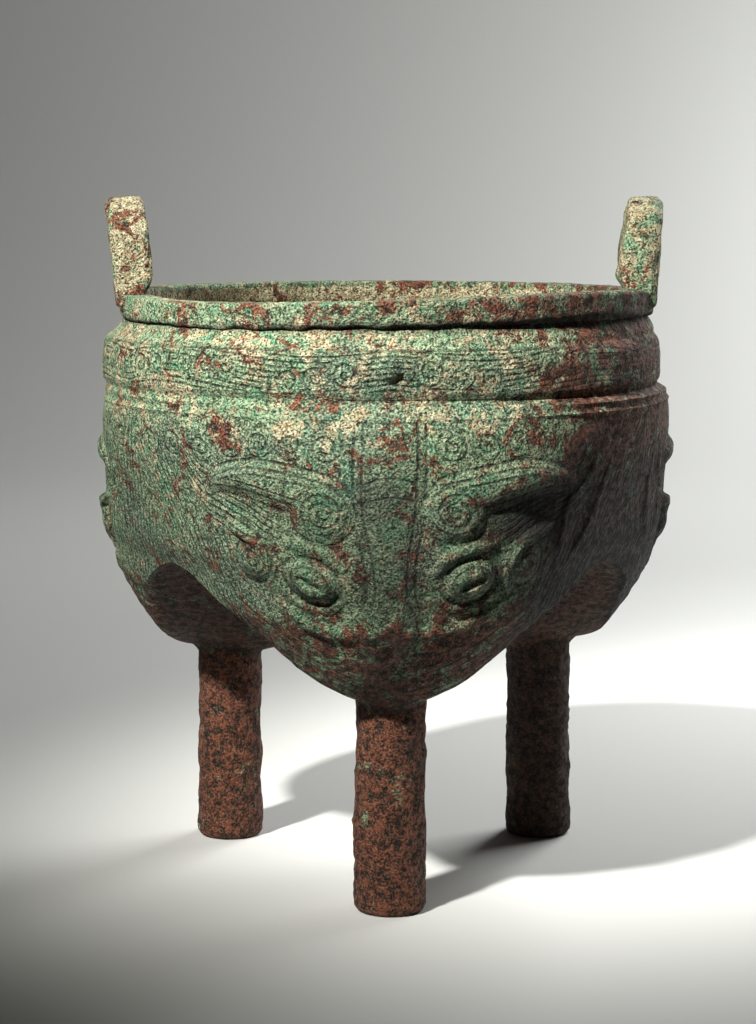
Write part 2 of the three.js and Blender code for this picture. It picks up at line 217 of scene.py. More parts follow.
# eyes in their sockets, with a slit pupil
raise_band([(13.5, 119, 1.4, 0.8), (19, 124.4, 2, 1.7), (26, 127.2, 2, 1.8), (33, 128.4, 1.4, 0.8)])
raise_band([(15, 111, 1.2, 0.6), (20, 107, 1.5, 1), (29, 108, 1.5, 1), (35.5, 113, 1.2, 0.6)])
raise_boss(25, 116.2, 8.8, 6.4, 28, 4.1, lined=-3)
slit_u = (mask_s - 25.4) * math.cos(0.5) + (mask_z - 115.8) * math.sin(0.5)
slit_v = (mask_z - 115.8) * math.cos(0.5) - (mask_s - 25.4) * math.sin(0.5)
relief -= 2.0 * ease((5.2 - np.abs(slit_u)) / 1.8) * ease((1.7 - np.abs(slit_v)) / 1.5)
# ears
raise_boss(45.4, 121.8, 6.6, 7, 0, 2.2, lined=-3)
raise_band([(39.8, 112, 1.3, 0.8), (39.2, 121, 1.8, 1.8), (42.6, 127.6, 2.2, 2.6), (49, 130.2, 2.2, 2.4),
            (56, 132.6, 1.4, 1)])
# jaw: a roll beside the wall's lower edge, and a knob at its tip
raise_band([(11, 98, 1.6, 1.3), (20, 99, 2, 1.4), (31, 103.4, 2, 1.3), (41, 109.6, 1.4, 0.6)])
raise_boss(6.6, 98.4, 2.8, 2.2, 0, 3.1)
# main plumes, sweeping down from the fold towards the cheek
raise_band([(77, 153, 1.2, 0.3), (73, 144, 1.8, 0.7), (65, 139, 1.8, 0.7), (63, 131, 1.5, 0.6),
            (62, 122, 1.2, 0.3)])
raise_band([(86, 151, 1.4, 0.3), (83, 139, 1.9, 0.6), (77, 128, 1.9, 0.6), (69, 119, 1.4, 0.3)])
# boss of the neck band in its open ring
raise_boss(0, 185, 4.8, 4.8, 0, 2.2)
raise_band([(6.4, 190, 0.9, 0.5), (6.6, 184, 0.9, 0.6), (4.6, 179.6, 0.9, 0.6), (0, 178, 0.9, 0.6)])
# thin raised line between the plain strip and the masks
relief += 0.6 * ease((0.9 - np.abs(wall_z - 168.6)) / 0.6)

# curls: each vertex knows, in millimetres, where it lies in the nearest curl, and the crust's bumps
# draw the turns from that, finer than the mesh could hold them
CURLS = [(13.6, 183, 5.2), (24, 181.8, 4.4), (33.4, 180.6, 4), (56, 185, 3.8), (64.5, 185.2, 4),
         (73, 184.6, 3.8), (88, 183.4, 4), (97, 183, 4.2), (20, 159.4, 5.2), (31.2, 159.4, 5), (42, 160, 5),
         (20.2, 138.6, 7.9), (45.4, 121.6, 5.2), (53, 159.6, 4.6), (75.6, 134.6, 4), (66, 157.4, 4.6),
         (80, 158.4, 4.8), (93, 158, 5)]
curl = np.zeros((len(wall_z), 3))
nearest = np.full(len(wall_z), 99.0)
for s0, z0, size in CURLS:
    ds, dz = mask_s - s0, mask_z - z0
    share = (np.abs(ds) ** 2.6 + np.abs(dz) ** 2.6) ** (1 / 2.6) / size
    closer = share < nearest
    nearest = np.where(closer, share, nearest)
    curl[closer] = np.stack([ds, dz, ease((1.1 - share) / 0.12)], axis=1)[closer]

# flow: the count of sunk lines that run side by side, how plainly they show, and their pitch
flow = np.zeros((len(wall_z), 3))
flow[:, 2] = 2


def run_lines(count, shown, pitch):
    stronger = shown > flow[:, 1]
    flow[stronger] = np.stack([count / pitch, shown, pitch + 0 * count], axis=1)[stronger]


# along the neck band, in a slow wave
in_band = ease((wall_z - 176.4) / 0.8) * ease((190.6 - wall_z) / 0.8)
run_lines(mask_z + 2.4 * np.sin(2 * math.pi * mask_s / 105), in_band, 1.9)
# arched over the bridge of the nose
on_bridge = ease((9 - mask_s) / 1.5) * ease(154 - mask_z) * ease(mask_z - 140.5)
run_lines(mask_z - 147 + 0.03 * mask_s**2, on_bridge, 6)
# along the plumes, then down their ends
sweep = np.interp(mask_s, [30, 40, 45, 60, 68, 72, 75, 78, 84, 105],
                  [126, 130, 133, 138.5, 141.5, 145, 150, 156, 166, 190])
off_members = ease(outline - 0.6) * ease(165.5 - wall_z)
on_plume = ease((mask_s - 34) / 4) * ease((mask_z - sweep + 7) / 2) * ease((16 - mask_z + sweep) / 3)
run_lines(mask_z - sweep, on_plume * off_members, 2.3)
on_ends = ease((mask_s - 52) / 4) * ease((sweep - 7 - mask_z) / 2)
run_lines(0.914 * mask_s - 0.406 * mask_z, on_ends * off_members, 2.5)
# beside the jaw, along the wall's lower edge
above_edge = wall_z - edge_height(wall_theta)
by_jaw = ease((17 - above_edge) / 3) * ease((mask_s - 9) / 2) * ease(outline - 1.5)
run_lines(above_edge, by_jaw, 2.6)
flow[:, 1] *= ease((nearest - 1.02) / 0.1)

# crust of corrosion: blisters and pits too coarse to be left to the surface finish
rough_low = 1 + 0.7 * ease((110 - wall_z) / 12)
crust = rough_low * (0.2 * lumps(wall_points, 7.5, 11) + 0.16 * lumps(wall_points, 3.6, 12)
                     + 0.15 * lumps(wall_points, 2.2, 13)
                     + 0.8 * np.clip(lumps(wall_points, 5.2, 14) - 0.55, 0, 1))
wall_out = wall_r + relief + crust
wall_points[:, 0] = wall_out * np.cos(wall_theta)
wall_points[:, 1] = wall_out * np.sin(wall_theta)

# where the crust turns brown or cream, and where painted shade darkens it: the right side, which lay in damp
# soil, is browner and is painted darker as it faces away from the key lamp; the lower parts are browner
from_front = np.degrees(np.arctan2(np.sin(wall_theta + math.pi / 2), np.cos(wall_theta + math.pi / 2)))
side_away_from_key = ease((from_front - 16) / 26) * ease((125 - from_front) / 40)
brown = (0.26 + 0.5 * side_away_from_key + 0.42 * ease((112 - wall_z) / 16)
         + 0.14 * ease((np.abs(from_front) - 110) / 30))
cream = 0.32 + 0.22 * ease((wall_z - 156) / 14) - 0.1 * ease((12 - mask_s) / 3) * ease((170 - wall_z) / 4)
# painted shadow below the right horn of the front mask
painted_shadow_under_horn = (ease((from_front - 12) / 8) * ease((42 - from_front) / 10)
              * ease((148 + 0.2 * (from_front - 30) - wall_z) / 5) * ease((wall_z - 124) / 8))
# painted shade over the masks and the nose panel, less of it on the left flank that faces the key lamp
painted_shade_on_mask = (0.4 - 0.24 * ease((-from_front - 16) / 20)) * ease((158 - wall_z) / 16)
painted_shade_on_nose = 0.24 * ease((12 - mask_s) / 3) * ease((164 - wall_z) / 8)
# painted shade on the right side, away from the key lamp, with more of it low down; less painted shade low on
# the lit side
painted_shade_away_from_key = 0.42 * side_away_from_key * ease((190 - wall_z) / 40)
less_painted_shade_low = 0.1 * ease((112 - wall_z) / 14) * (1 - side_away_from_key)
painted_shade_low_away_from_key = 0.42 * side_away_from_key * ease((130 - wall_z) / 14)
# painted shadow on the neck just under the overhanging lip
painted_shadow_under_lip = 0.6 * ease((wall_z - 195) / 2)
shade = painted_shade_on_mask + painted_shade_on_nose + painted_shade_away_from_key - less_painted_shade_low + 0.45 * painted_shadow_under_horn + painted_shade_low_away_from_key + painted_shadow_under_lip
wall_stain = np.stack([brown, cream, shade], axis=1)


# ---- The casting's rings, from the middle of the inside to the foot of the wall -------------------
# The lip is a flat-topped collar that stands out over the neck; its crust has eaten into its lower
# edge. Inside, the wall runs smooth and the floor sinks into a hollow over each leg.
RIM_Z = 206.5
RIM_R = 95.8
RIM_WIDTH = 9.4
LIP_DEPTH = 8.4
LIP_WARP = 2.4
WALL = 3.3
VAULT_MID = 97
FLOOR_LOW = 79
INSIDE_COLUMNS = 180
INSIDE_ROWS = 36
FLOOR_ROWS = 24

vertices = []
faces = []
BLANK = {"outline_mm": 12.0, "curl": (30.0, 30.0, 0.0), "flow": (0.0, 0.0, 2.0), "stain": (0.3, 0.3, 0.0)}
traits = {name: [] for name in BLANK}


def add_points(points, **given):
    """Adds vertices in millimetres round the vessel's axis; returns the number of the first."""
    first = sum(len(block) for block in vertices)
    vertices.append(np.asarray(points, float))
    for name, blocks in traits.items():
        shape = (len(points),) + np.shape(BLANK[name])
        blocks.append(np.broadcast_to(given.get(name, BLANK[name]), shape).astype(float))
    return first


def add_grid(first, rows, columns, flip=False):
    """Quads between rings that lie one after another."""
    i, j = np.meshgrid(np.arange(rows - 1), np.arange(columns), indexing="ij")
    a = first + i * columns + j
    b = first + i * columns + (j + 1) % columns
    quads = np.stack([a, b, b + columns, a + columns], axis=-1).reshape(-1, 4)
    faces.extend((quads[:, ::-1] if flip else quads).tolist())


def add_seam(ring_a, ring_b, flip=False):
    """Triangles and quads between two rings, the first with a whole multiple of the second's points."""
    share = len(ring_a) // len(ring_b)
    for j in range(len(ring_b)):
        fan = [ring_a[(share * j + k) % len(ring_a)] for k in range(share + 1)]
        face = fan + [ring_b[(j + 1) % len(ring_b)], ring_b[j]]
        faces.append(face[::-1] if flip else face)


def warp(angle):
    return LIP_WARP * np.cos(angle) * ease(-1.2 * np.sin(angle))


def around(angle, radius, height):
    radius = np.broadcast_to(radius, angle.shape)
    height = np.broadcast_to(height, angle.shape)
    return np.stack([radius * np.cos(angle), radius * np.sin(angle), height], axis=1)


wall_first = add_points(wall_points, outline_mm=outline, curl=curl, flow=flow, stain=wall_stain)
wall_rows = NECK_ROWS + LOBE_ROWS
add_grid(wall_first, wall_rows, COLUMNS, flip=True)

# lip, from its underside round its outer band to the inner corner
lip_section = [(RIM_R - 1.2, RIM_Z - LIP_DEPTH - 0.1), (RIM_R - 0.3, RIM_Z - LIP_DEPTH + 0.3)]
lip_section += [(RIM_R, RIM_Z - LIP_DEPTH + 1.1 + k * (LIP_DEPTH - 2.2) / 6) for k in range(7)]
lip_section += [(RIM_R - 0.25, RIM_Z - 0.4), (RIM_R - 0.9, RIM_Z)]
lip_section += [(RIM_R - 0.9 - k * (RIM_WIDTH - 1.8) / 6, RIM_Z) for k in range(1, 7)]
lip_section += [(RIM_R - RIM_WIDTH + 0.3, RIM_Z - 0.4), (RIM_R - RIM_WIDTH, RIM_Z - 1.4)]
lip_rings = []
for k, (radius, height) in enumerate(lip_section):
    ring = around(theta, radius, height + warp(theta))
    level = ring * (1, 1, 0)
    rough = (0.26 * lumps(ring, 5.5, 21) + 0.2 * lumps(ring, 2.4, 22)
             + 0.5 * np.clip(lumps(ring, 4.2, 23) - 0.4, 0, 1))
    ragged = ease((3 - k) / 3) * (0.9 * lumps(level, 6.5, 24) + 0.5 * lumps(level, 2.8, 25))
    ring[:, 2] += np.where(k >= 9, 0.6, 0.3) * rough - ragged
    ring[:, :2] *= (1 + rough / RIM_R)[:, None]
    lip_rings.append(ring)
lip_points = np.concatenate(lip_rings)
to_right = lip_points[:, 0] / RIM_R
# painted shade on the lip: a little all round, more towards the right, away from the key lamp, and painted
# shadow on the rings of its underside
in_gap = np.repeat(ease((3 - np.arange(len(lip_section))) / 2), COLUMNS)
lip_shade = 0.14 + 0.16 * to_right + 0.65 * in_gap
lip_stain = np.stack([0.4 + 0.2 * to_right, 0.45 - 0.1 * to_right, lip_shade], axis=1)
lip_first = add_points(lip_points, stain=lip_stain)
add_grid(lip_first, len(lip_rings), COLUMNS)
add_seam(wall_first + np.arange(COLUMNS), lip_first + np.arange(COLUMNS))


def inner_radius(angle, z):
    slope = (wall_radius(angle, z + 1) - wall_radius(angle, z - 1)) / 2
    band = ease((z - 158) / 12)
    thick = WALL * np.sqrt(1 + np.minimum(slope**2, 1.6)) + band * (1.3 + 0.8 * BAND_LEFT * np.cos(angle))
    body = through(LOBE_PROFILE, np.minimum(z, 172)) + 0 * angle
    body = np.where(z > 168, np.minimum(body, 101.2), wall_radius(angle, np.minimum(z, 168)))
    under_rim = RIM_R - RIM_WIDTH + 0.05 * (RIM_Z - z) + 0.45 * np.maximum(RIM_Z - 8 - z, 0)
    return np.minimum(body - np.minimum(thick, 8), under_rim)


def vault_height(angle, share):
    return VAULT_MID + (edge_height(angle) - VAULT_MID) * ease(share / 0.68)


def floor_height(angle, share):
    height = vault_height(angle, share) + WALL + 0.4
    levelled = FLOOR_LOW + 2 - 1.2 * np.log1p(np.exp(-(height - FLOOR_LOW - 1)))
    return np.where(height > FLOOR_LOW + 2, height, levelled)


inside = -math.pi / 2 + 2 * math.pi * np.arange(INSIDE_COLUMNS) / INSIDE_COLUMNS
edge_radius = wall_radius(inside, edge_height(inside))
low = edge_height(inside)
high = low + 30
for _ in range(24):
    middle = (low + high) / 2
    above = middle >= floor_height(inside, inner_radius(inside, middle) / edge_radius)
    high = np.where(above, middle, high)
    low = np.where(above, low, middle)
corner_z = high + 2
corner_r = inner_radius(inside, corner_z)
inside_rings = []
for share in np.linspace(0, 1, INSIDE_ROWS):
    z = RIM_Z - 3 + (corner_z - RIM_Z + 3) * share
    inside_rings.append(around(inside, inner_radius(inside, z), z))
for share in np.linspace(0.97, 0.04, FLOOR_ROWS):
    radius = corner_r * share
    rounding = 2 * ease((share - 0.8) / 0.2)
    inside_rings.append(around(inside, radius, floor_height(inside, radius / edge_radius) + rounding))
inside_points = np.concatenate(inside_rings)
rough = 0.3 * lumps(inside_points, 9, 31) + 0.25 * lumps(inside_points, 4, 32)
inside_points[:, :2] *= (1 - rough / 100)[:, None]
inside_points[:, 2] += 0.6 * rough
inside_first = add_points(inside_points, stain=(0.3, 1.05, 0.0))
add_grid(inside_first, len(inside_rings), INSIDE_COLUMNS)
lip_corner = lip_first + (len(lip_rings) - 1) * COLUMNS + np.arange(COLUMNS)
add_seam(lip_corner, inside_first + np.arange(INSIDE_COLUMNS))
last_ring = inside_first + (len(inside_rings) - 1) * INSIDE_COLUMNS
faces.append((last_ring + np.arange(INSIDE_COLUMNS)).tolist())


# ---- Underside and legs ------------------------------------------------------------------------------
# The underside is a smooth vault from the core of the mould, brown and darkened with painted shade. The three
# solid round legs are cast with it: a small fillet joins each to its lobe, and each ends in a flat foot.
LEG_R = 11.9
FILLET = 3.2
LEG_SIDES = 48
LEG_RINGS = 42


def underside_height(x, y):
    angle = np.arctan2(y, x)
    share = np.hypot(x, y) / wall_radius(angle, edge_height(angle))
    height = vault_height(angle, share)
    for turn in LEG_ANGLES:
        away = np.hypot(x - LEG_CIRCLE * math.cos(turn), y - LEG_CIRCLE * math.sin(turn)) - LEG_R
        height = height - 2.4 * ease((share - 0.2) / 0.1) * np.clip(1 - away / FILLET, 0, 1) ** 2
    return height


def to_nearest_leg(x, y):
    return min(math.hypot(x - LEG_CIRCLE * math.cos(t), y - LEG_CIRCLE * math.sin(t)) for t in LEG_ANGLES)


foot_ring = wall_first + (wall_rows - 1) * COLUMNS + np.arange(COLUMNS)
outer = wall_points[-COLUMNS:, :2]
flat = [Vector(p) for p in outer]
edges = [(k, (k + 1) % COLUMNS) for k in range(COLUMNS)]
around_leg = 2 * math.pi * np.arange(LEG_SIDES) / LEG_SIDES
leg_starts = []
for turn in LEG_ANGLES:
    middle = LEG_CIRCLE * np.array([math.cos(turn), math.sin(turn)])
    leg_starts.append(len(flat))
    for k, gap in enumerate((0, 0.6, 1.3, 2.2, FILLET)):
        sides = around_leg + turn + (k % 2) * math.pi / LEG_SIDES
        circle = middle + (LEG_R + gap) * np.stack([np.cos(sides), np.sin(sides)], axis=1)
        angle = np.arctan2(circle[:, 1], circle[:, 0])
        room = wall_radius(angle, edge_height(angle))
        keep = (np.hypot(*circle.T) < room - 0.7) | (gap == 0)
        if gap == 0:
            start = len(flat)
            edges += [(start + j, start + (j + 1) % LEG_SIDES) for j in range(LEG_SIDES)]
        flat += [Vector(p) for p in circle[keep]]
span = np.arange(-105, 106, 3.0)
for row, y in enumerate(span):
    for x in span + (row % 2) * 1.5:
        angle = np.array([math.atan2(y, x)])
        clear = math.hypot(x, y) < wall_radius(angle, edge_height(angle))[0] - 2
        if clear and to_nearest_leg(x, y) > LEG_R + FILLET + 1:
            flat.append(Vector((x, y)))
made, _, triangles, sources, _, _ = delaunay_2d_cdt(flat, edges, [], 1, 1e-6)
place = {}
inner_xy = []
for number, origin in enumerate(sources):
    if origin and origin[0] < COLUMNS:
        place[number] = int(foot_ring[origin[0]])
    else:
        place[number] = -1 - len(inner_xy)
        inner_xy.append(made[number])
inner_xy = np.array(inner_xy)
under_points = np.column_stack([inner_xy, underside_height(*inner_xy.T)])
under_points[:, 2] += 0.3 * lumps(under_points, 8, 41) * ease((under_points[:, 2] - 60) / 5)
# the third number is painted shade, as the underside lies in shadow
under_first = add_points(under_points, stain=(0.9, 0.05, 0.7))
place = {number: (where if where >= 0 else under_first - 1 - where) for number, where in place.items()}
for triangle in triangles:
    centre = sum((Vector(made[k]) for k in triangle), Vector((0, 0))) / 3
    if to_nearest_leg(centre.x, centre.y) > LEG_R - 0.02:
        faces.append([place[k] for k in reversed(triangle)])

foot_of = {origin[0]: number for number, origin in enumerate(sources) if origin}
# painted shade on the legs, the third number: most on the right leg, away from the key lamp
for turn, start, dark in zip(LEG_ANGLES, leg_starts, (0.2, 0.78, 0.12)):
    top = [place[foot_of[start + j]] for j in range(LEG_SIDES)]
    top_z = np.array([under_points[k - under_first, 2] for k in top])
    sides = around_leg + turn
    middle = LEG_CIRCLE * np.array([math.cos(turn), math.sin(turn)])
    rows = []
    for share in np.linspace(0.03, 1, LEG_RINGS):
        z = top_z * (1 - share) + 1.8 * share
        swell = LEG_R - 0.35 * np.sin(np.clip((z - 30) / 40, 0, 1) * math.pi) + 0.15 * ease((14 - z) / 10)
        rows.append(around(sides, swell, z))
    rows.append(around(sides, LEG_R - 0.5, 0.6))
    rows.append(around(sides, LEG_R - 1.8, 0))
    points = np.concatenate(rows)
    shifted = points + (middle[0], middle[1], 0)
    rough = (0.4 * lumps(shifted, 7, 51) + 0.44 * lumps(shifted, 3.4, 52) + 0.34 * lumps(shifted, 2.1, 54)
             + 1.5 * np.clip(lumps(shifted, 4.4, 53) - 0.42, 0, 1))
    rough *= ease((points[:, 2] - 0.3) / 3)
    points[:, :2] *= (1 + rough / LEG_R)[:, None]
    points[:, :2] += middle
    leg_first = add_points(points, stain=(1.05, 0.0, dark))
    add_grid(leg_first, len(rows), LEG_SIDES, flip=True)
    add_seam(np.array(top), leg_first + np.arange(LEG_SIDES), flip=True)
    sole = leg_first + (len(rows) - 1) * LEG_SIDES
    faces.append((sole + np.arange(LEG_SIDES))[::-1].tolist())


# ---- Ears ---------------------------------------------------------------------------------------------
# Two upright loops rise from the lip, cast with it and flush with its outer face; they lean a little
# outwards, and their posts are square bars with bevelled corners.
EAR_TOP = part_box("ding_vessel")[1][2] / MM
EAR_SPAN = 42
EAR_POST = 12.5
EAR_DEPTH = 12.8
EAR_FLARE = (-0.8, 1)
EAR_OUT = 96.8
EAR_SPLAY = (3.6, 5.8)
EAR_TURN = 4
EAR_SEAT = 2.8
EAR_BEVELS = (2.2, 1.2)
EAR_STATIONS = 84


def bevelled(half_width, depth, bevel, steps=5):
    """Outline of a bar's section: across the post, and inwards from its outer face."""
    outer, inner = bevel
    corners = [(-half_width, outer), (-half_width + outer, 0), (half_width - outer, 0), (half_width, outer),
               (half_width, depth - inner), (half_width - inner, depth), (-half_width + inner, depth),
               (-half_width, depth - inner)]
    points = []
    for (x0, y0), (x1, y1) in zip(corners, corners[1:] + corners[:1]):
        pieces = steps if math.hypot(x1 - x0, y1 - y0) > 3 else 1
        points += [(x0 + (x1 - x0) * k / pieces, y0 + (y1 - y0) * k / pieces) for k in range(pieces)]
    return np.array(points)


ear_points = []
radius = (EAR_SPAN - EAR_POST) / 2
spring = EAR_TOP - EAR_POST / 2 - radius
foot = RIM_Z - LIP_DEPTH + 1.6
rise = spring - foot
length = 2 * rise + math.pi * radius
for side, splay in enumerate(EAR_SPLAY):
    rows = []
    for along in np.linspace(0, length, EAR_STATIONS):
        if along < rise:
            t, z, nt, nz = -radius, foot + along, 1, 0
        elif along > length - rise:
            t, z, nt, nz = radius, foot + length - along, -1, 0
        else:
            turn = math.pi - (along - rise) / radius
            nt, nz = -math.cos(turn), -math.sin(turn)
            t, z = -radius * nt, spring - radius * nz
        lift = max(0, (z - RIM_Z) / (EAR_TOP - RIM_Z))
        depth = EAR_DEPTH + EAR_FLARE[side] * lift - EAR_SEAT * (1 - float(ease((z - RIM_Z + 1) / 6)))
        section = bevelled(EAR_POST / 2, depth, EAR_BEVELS)
        tt = t - nt * section[:, 0]
        zz = z - nz * section[:, 0]
        sunk = 1.8 * (1 - float(ease((z - foot) / 2.6))) * (1 - section[:, 1] / depth)
        lean = math.tan(math.radians(splay)) * np.maximum(0, zz - RIM_Z + LIP_DEPTH)
        out = EAR_OUT - sunk - section[:, 1] + lean
        out -= 0.6 * (np.hypot(out, tt) - out)
        turned = Matrix.Rotation(math.radians(-EAR_TURN if side == 0 else 180 + EAR_TURN), 3, "Z")
        rows.append(np.stack([out, tt, zz], axis=1) @ np.array(turned).T)
    points = np.concatenate(rows)
    centre = np.repeat([row.mean(axis=0) for row in rows], len(rows[0]), axis=0)
    rough = 0.35 * lumps(points, 5.5, 61) + 0.28 * lumps(points, 2.6, 62)
    away = points - centre
    points += away / np.linalg.norm(away, axis=1)[:, None] * rough[:, None]
    ear_points.append((points, len(rows[0])))


def mesh_of(name, points, polygons, fields):
    mesh = bpy.data.meshes.new(name)
    mesh.from_pydata((np.asarray(points) * MM + np.array(axis)).tolist(), [], polygons)
    for trait, values in fields.items():
        kind, slot = ("FLOAT", "value") if values.ndim == 1 else ("FLOAT_VECTOR", "vector")
        mesh.attributes.new(trait, kind, "POINT").data.foreach_set(slot, values.ravel())
    piece = bpy.data.objects.new(name, mesh)
    bpy.context.collection.objects.link(piece)
    return piece


fields = {name: np.concatenate(blocks) for name, blocks in traits.items()}
vessel = mesh_of("ding_bronze", np.concatenate(vertices), faces, fields)
EAR_STAINS = [(0.32, 0.66, 0.0), (0.42, 0.78, 0.0)]
for (points, sides), stain in zip(ear_points, EAR_STAINS):
    count = len(points)
    ring_faces = []
    for i in range(count // sides - 1):
        for j in range(sides):
            a, b = i * sides + j, i * sides + (j + 1) % sides
            ring_faces.append((a + sides, b + sides, b, a))
    ring_faces.append(tuple(range(sides)))
    ring_faces.append(tuple(range(count - sides, count))[::-1])
    ear_fields = {}
    for name, blank in BLANK.items():
        value = stain if name == "stain" else blank
        ear_fields[name] = np.broadcast_to(value, (count,) + np.shape(blank)).astype(float)
    ear = mesh_of("ear_loop", points, ring_faces, ear_fields)
    join = vessel.modifiers.new("cast on", "BOOLEAN")
    join.operation = "UNION"
    join.solver = "MANIFOLD"
    join.object = ear
    bpy.context.view_layer.update()
    joined = bpy.data.meshes.new_from_object(vessel.evaluated_get(bpy.context.evaluated_depsgraph_get()))
    vessel.modifiers.clear()
    vessel.data = joined
    bpy.data.objects.remove(ear)
vessel.data.shade_smooth()
vessel.data.set_sharp_from_angle(angle=math.radians(55))


# ---- Patina ---------------------------------------------------------------------------------------------
# Tin bronze after long burial: granular green malachite over red-brown cuprite, with cream and orange crust on
# the lip and ears. The grains are dull and rough, and dark where the relief holds dirt. Painted shade, carried
# in from the mesh, darkens what lies in shadow.
def linear(hex_colour):
    """An sRGB hex colour in linear light."""
    channels = [int(hex_colour[k:k + 2], 16) / 255 for k in (1, 3, 5)]
    return [c / 12.92 if c <= 0.04045 else ((c + 0.055) / 1.055) ** 2.4 for c in channels] + [1]


def wire(tree, kind, inputs, out=0, **settings):
    """Adds a node with its settings and links, and gives back one of its outputs."""
    node = tree.nodes.new(kind)
    for name, value in settings.items():
        setattr(node, name, value)
    for name, value in inputs.items():
        if isinstance(value, bpy.types.NodeSocket):
            tree.links.new(value, node.inputs[name])
        else:
            node.inputs[name].default_value = value
    return node.outputs[out]


patina = bpy.data.materials.new("malachite and cuprite on tin bronze")
patina.use_nodes = True
tree = patina.node_tree
shader = tree.nodes["Principled BSDF"]
shader.inputs["Specular IOR Level"].default_value = 0.4
plain = tree.nodes.new("ShaderNodeTexCoord").outputs["Object"]
here = wire(tree, "ShaderNodeVectorMath", {0: plain, "Scale": 1 / MM}, operation="SCALE")


def maths(kind, first, second=0.0, third=0.0):
    return wire(tree, "ShaderNodeMath", {0: first, 1: second, 2: third}, operation=kind)


def over(value, start, end):
    """How far a value has gone from start to end, from 0 to 1."""
    return wire(tree, "ShaderNodeMapRange", {"Value": value, "From Min": start, "From Max": end})


def mixed(amount, below, above):
    """One crust over another, by amount."""
    return wire(tree, "ShaderNodeMix", {0: amount, 6: below, 7: above}, out=2, data_type="RGBA")


def parts_of(vector):
    """The three numbers of a vector or a colour."""
    node = tree.nodes.new("ShaderNodeSeparateXYZ")
    tree.links.new(vector, node.inputs["Vector"])
    return list(node.outputs)


def clouds(size_mm, detail, rough, wind=0.0):
    """Three random fields with features of this size."""
    settings = {"Vector": here, "Scale": 1 / size_mm, "Detail": detail, "Roughness": rough, "Distortion": wind}
    return parts_of(wire(tree, "ShaderNodeTexNoise", settings, out="Color"))


# grains of malachite are about half a millimetre across, clusters of them three, patches ten
grain, grain_tint, grit = clouds(0.75, 2, 0.55)
crumb, crumb_tint, pock = clouds(2.6, 4, 0.7)
patch, cream_patch, emerald_patch = clouds(9.5, 7, 0.76, 0.5)
tide = clouds(42, 3, 0.5)[0]

# sunk lines: along the members of the mask, in the curls, and side by side in the flow
outline_at = wire(tree, "ShaderNodeAttribute", {}, out="Fac", attribute_name="outline_mm")
curl_at, flow_at, stain_at = [wire(tree, "ShaderNodeAttribute", {}, out="Vector", attribute_name=trait)
                              for trait in ("curl", "flow", "stain")]
curl_x, curl_y, curl_on = parts_of(curl_at)
flow_by, flow_on, flow_pitch = parts_of(flow_at)
brown_at, cream_at, painted_shade_at = parts_of(stain_at)
CURL_PITCH = 2.6


def groove(distance, half_width):
    """1 in the middle of a sunk line, 0 beyond its sides."""
    settings = {"Value": maths("ABSOLUTE", distance), "From Min": 0.1, "From Max": half_width,
                "To Min": 1.0, "To Max": 0.0}
    return wire(tree, "ShaderNodeMapRange", settings, interpolation_type="SMOOTHSTEP")


def times(first, second):
    return maths("MULTIPLY", first, second)


not_curl = maths("SUBTRACT", 1.0, curl_on)
first_line = groove(maths("ADD", outline_at, 1.8), 0.62)
second_line = groove(maths("ADD", outline_at, 4.1), 0.55)
inner_lines = maths("MAXIMUM", first_line, second_line)
outer_line = groove(maths("ADD", outline_at, -0.9), 0.75)
flat_curl = wire(tree, "ShaderNodeCombineXYZ", {"X": curl_x, "Y": curl_y})
out_by = wire(tree, "ShaderNodeVectorMath", {0: flat_curl}, out="Value", operation="LENGTH")
turned_by = times(maths("ARCTAN2", curl_y, curl_x), 1 / (2 * math.pi))
wound = maths("MULTIPLY_ADD", out_by, 1 / CURL_PITCH, turned_by)
curl_line = groove(times(maths("ADD", maths("WRAP", wound, 1.0, 0.0), -0.5), CURL_PITCH), 0.68)
flow_line = groove(times(maths("ADD", maths("WRAP", flow_by, 1.0, 0.0), -0.5), flow_pitch), 0.6)
cut = maths("MAXIMUM", maths("MAXIMUM", times(inner_lines, not_curl), outer_line),
            maths("MAXIMUM", times(curl_line, curl_on), times(flow_line, flow_on)))
# the crust has filled the lines here and there
cut = times(cut, maths("MULTIPLY_ADD", over(crumb_tint, 0.42, 0.56), -0.55, 1.0))

# height of grains, clusters, pocks and lines, in millimetres
height = maths("MULTIPLY_ADD", crumb, 2.0, grain)
height = maths("MULTIPLY_ADD", over(pock, 0.36, 0.46), 0.25, height)
height = maths("MULTIPLY_ADD", over(patch, 0.47, 0.53), 0.16, height)
height = maths("MULTIPLY_ADD", cut, -0.62, height)
bumped = wire(tree, "ShaderNodeBump", {"Height": height, "Distance": MM, "Strength": 1.0}, out="Normal")
tree.links.new(bumped, shader.inputs["Normal"])

# three crusts: matt green malachite with brighter emerald and bluish tides, red-brown cuprite with
# sandy grains, and bone-coloured lime and tin oxide with orange grains
green = mixed(over(crumb, 0.38, 0.6), linear("#4a6144"), linear("#93ac86"))
green = mixed(times(over(emerald_patch, 0.52, 0.58), 0.6), green, linear("#3f8b64"))
green = mixed(times(over(tide, 0.5, 0.62), 0.4), green, linear("#43504f"))
rust = mixed(over(crumb, 0.42, 0.56), linear("#1a0904"), linear("#85492f"))
rust = mixed(times(over(grain_tint, 0.53, 0.62), 0.4), rust, linear("#9a6247"))
bone = mixed(over(crumb_tint, 0.4, 0.6), linear("#8e8764"), linear("#d2ceab"))
bone = mixed(times(over(grain_tint, 0.5, 0.58), 0.6), bone, linear("#b98a5e"))

